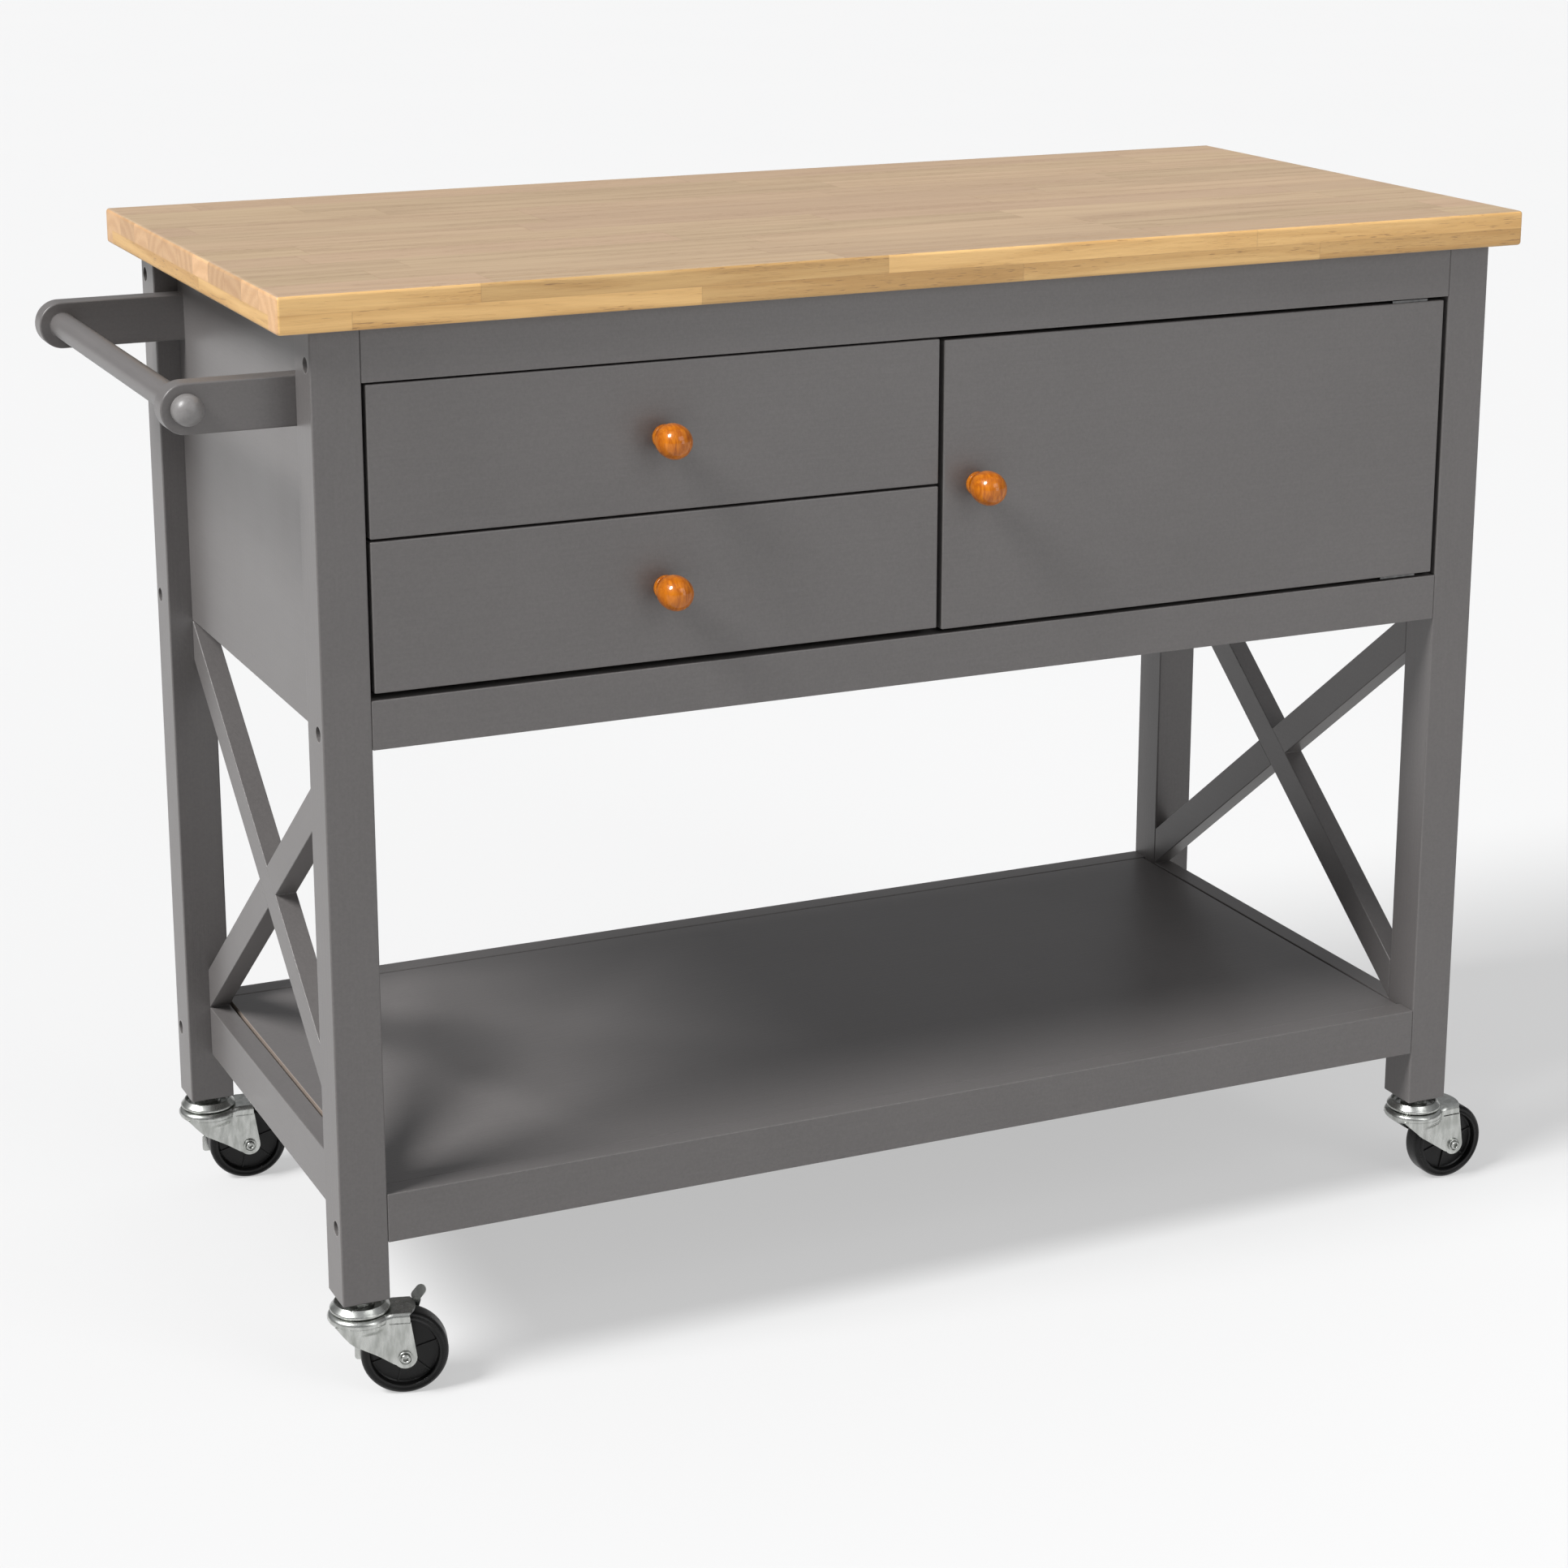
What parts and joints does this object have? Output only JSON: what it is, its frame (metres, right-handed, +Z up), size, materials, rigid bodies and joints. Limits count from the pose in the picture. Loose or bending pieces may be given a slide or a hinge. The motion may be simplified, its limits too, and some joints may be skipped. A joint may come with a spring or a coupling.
{
  "type": "butcher block kitchen cart",
  "caption": "Rolling kitchen cart with a butcher block top, stacked drawers, a door, an open shelf, a towel bar and braked swivel casters.",
  "frame": {"origin": "on the floor, under the middle of the whole cart's bounding box", "axes": "+X along the top, away from the towel bar; +Y from the drawer side to the back; +Z up"},
  "size_m": [1.222, 0.556, 0.914],
  "materials": {
    "butcher_block": "oiled rubberwood staves",
    "butcher_block_edge": "oiled rubberwood edge",
    "grey_paint": "satin grey paint on wood",
    "bare_wood": "unpainted pine and plywood",
    "knob_wood": "varnished wood",
    "cap_plastic": "light grey turned cap",
    "zinc_steel": "zinc plated",
    "caster_steel": "bright zinc",
    "wheel_rubber": "black moulded wheel",
    "black_plastic": "matt black"
  },
  "bodies": {
    "frame": {"back_lower_rail": "grey_paint", "back_shelf_rail": "grey_paint", "back_upper_rail": "grey_paint", "barrel_nuts": "zinc_steel", "cabinet_back": "grey_paint", "cabinet_divider": "grey_paint", "cabinet_floor": "grey_paint", "caster_stems": "caster_steel", "drawer_slides": "zinc_steel", "frame_bolts": "zinc_steel", "front_lower_rail": "grey_paint", "front_shelf_rail": "grey_paint", "front_upper_rail": "grey_paint", "handle_bar": "grey_paint", "handle_bracket_back": "grey_paint", "handle_bracket_front": "grey_paint", "handle_end_caps": "cap_plastic", "leg_back_left": "grey_paint", "leg_back_right": "grey_paint", "leg_front_left": "grey_paint", "leg_front_right": "grey_paint", "magnetic_catch": "black_plastic", "pivot_bushings": "black_plastic", "shelf_board": "grey_paint", "side_panel_left": "grey_paint", "side_panel_right": "grey_paint", "side_rail_left": "grey_paint", "side_rail_right": "grey_paint", "support_cleats": "grey_paint", "top_board": "butcher_block", "top_edge_strips": "butcher_block_edge", "x_brace_left": "grey_paint", "x_brace_right": "grey_paint"},
    "upper_drawer": {"upper_drawer_front": "grey_paint", "upper_drawer_box": "bare_wood", "upper_drawer_bottom": "bare_wood", "upper_drawer_knob": "knob_wood", "upper_drawer_runners": "zinc_steel"},
    "lower_drawer": {"lower_drawer_front": "grey_paint", "lower_drawer_box": "bare_wood", "lower_drawer_bottom": "bare_wood", "lower_drawer_knob": "knob_wood", "lower_drawer_runners": "zinc_steel"},
    "door": {"door_panel": "grey_paint", "door_knob": "knob_wood", "door_pivot_pins": "zinc_steel"},
    "swivel_front_left": {"caster_fork_front_left": "caster_steel", "caster_axle_front_left": "caster_steel"},
    "wheel_front_left": {"caster_wheel_front_left": "wheel_rubber"},
    "swivel_front_right": {"caster_fork_front_right": "caster_steel", "caster_axle_front_right": "caster_steel"},
    "wheel_front_right": {"caster_wheel_front_right": "wheel_rubber"},
    "swivel_back_left": {"caster_fork_back_left": "caster_steel", "caster_axle_back_left": "caster_steel"},
    "wheel_back_left": {"caster_wheel_back_left": "wheel_rubber"},
    "swivel_back_right": {"caster_fork_back_right": "caster_steel", "caster_axle_back_right": "caster_steel"},
    "wheel_back_right": {"caster_wheel_back_right": "wheel_rubber"},
    "brake_front_left": {"brake_lever_front_left": "caster_steel"},
    "brake_back_left": {"brake_lever_back_left": "caster_steel"}
  },
  "joints": [
    {"name": "upper_drawer_slide", "type": "slide", "parent": "frame", "child": "upper_drawer", "axis": [0, -1, 0], "range_m": [0, 0.3]},
    {"name": "lower_drawer_slide", "type": "slide", "parent": "frame", "child": "lower_drawer", "axis": [0, -1, 0], "range_m": [0, 0.3]},
    {"name": "door_hinge", "type": "hinge", "parent": "frame", "child": "door", "pos_m": [0.4815, -0.232, 0.71725], "axis": [0, 0, 1], "range_deg": [0, 95]},
    {"name": "swivel_front_left", "type": "hinge", "parent": "frame", "child": "swivel_front_left", "pos_m": [-0.486, -0.22, 0.0722], "axis": [0, 0, 1], "continuous": true},
    {"name": "roll_front_left", "type": "hinge", "parent": "swivel_front_left", "child": "wheel_front_left", "pos_m": [-0.45219, -0.22906, 0.036], "axis": [0.2588, 0.9659, 0], "continuous": true},
    {"name": "brake_pedal_front_left", "type": "hinge", "parent": "swivel_front_left", "child": "brake_front_left", "pos_m": [-0.45219, -0.22906, 0.036], "axis": [0.2588, 0.9659, 0], "range_deg": [0, 15]},
    {"name": "swivel_front_right", "type": "hinge", "parent": "frame", "child": "swivel_front_right", "pos_m": [0.54, -0.22, 0.0722], "axis": [0, 0, 1], "continuous": true},
    {"name": "roll_front_right", "type": "hinge", "parent": "swivel_front_right", "child": "wheel_front_right", "pos_m": [0.575, -0.22, 0.036], "axis": [0, 1, 0], "continuous": true},
    {"name": "swivel_back_left", "type": "hinge", "parent": "frame", "child": "swivel_back_left", "pos_m": [-0.486, 0.248, 0.0722], "axis": [0, 0, 1], "continuous": true},
    {"name": "roll_back_left", "type": "hinge", "parent": "swivel_back_left", "child": "wheel_back_left", "pos_m": [-0.45119, 0.24434, 0.036], "axis": [0.1045, 0.9945, 0], "continuous": true},
    {"name": "brake_pedal_back_left", "type": "hinge", "parent": "swivel_back_left", "child": "brake_back_left", "pos_m": [-0.45119, 0.24434, 0.036], "axis": [0.1045, 0.9945, 0], "range_deg": [0, 15]},
    {"name": "swivel_back_right", "type": "hinge", "parent": "frame", "child": "swivel_back_right", "pos_m": [0.54, 0.248, 0.0722], "axis": [0, 0, 1], "continuous": true},
    {"name": "roll_back_right", "type": "hinge", "parent": "swivel_back_right", "child": "wheel_back_right", "pos_m": [0.57172, 0.23321, 0.036], "axis": [0.4226, 0.9063, 0], "continuous": true}
  ]
}
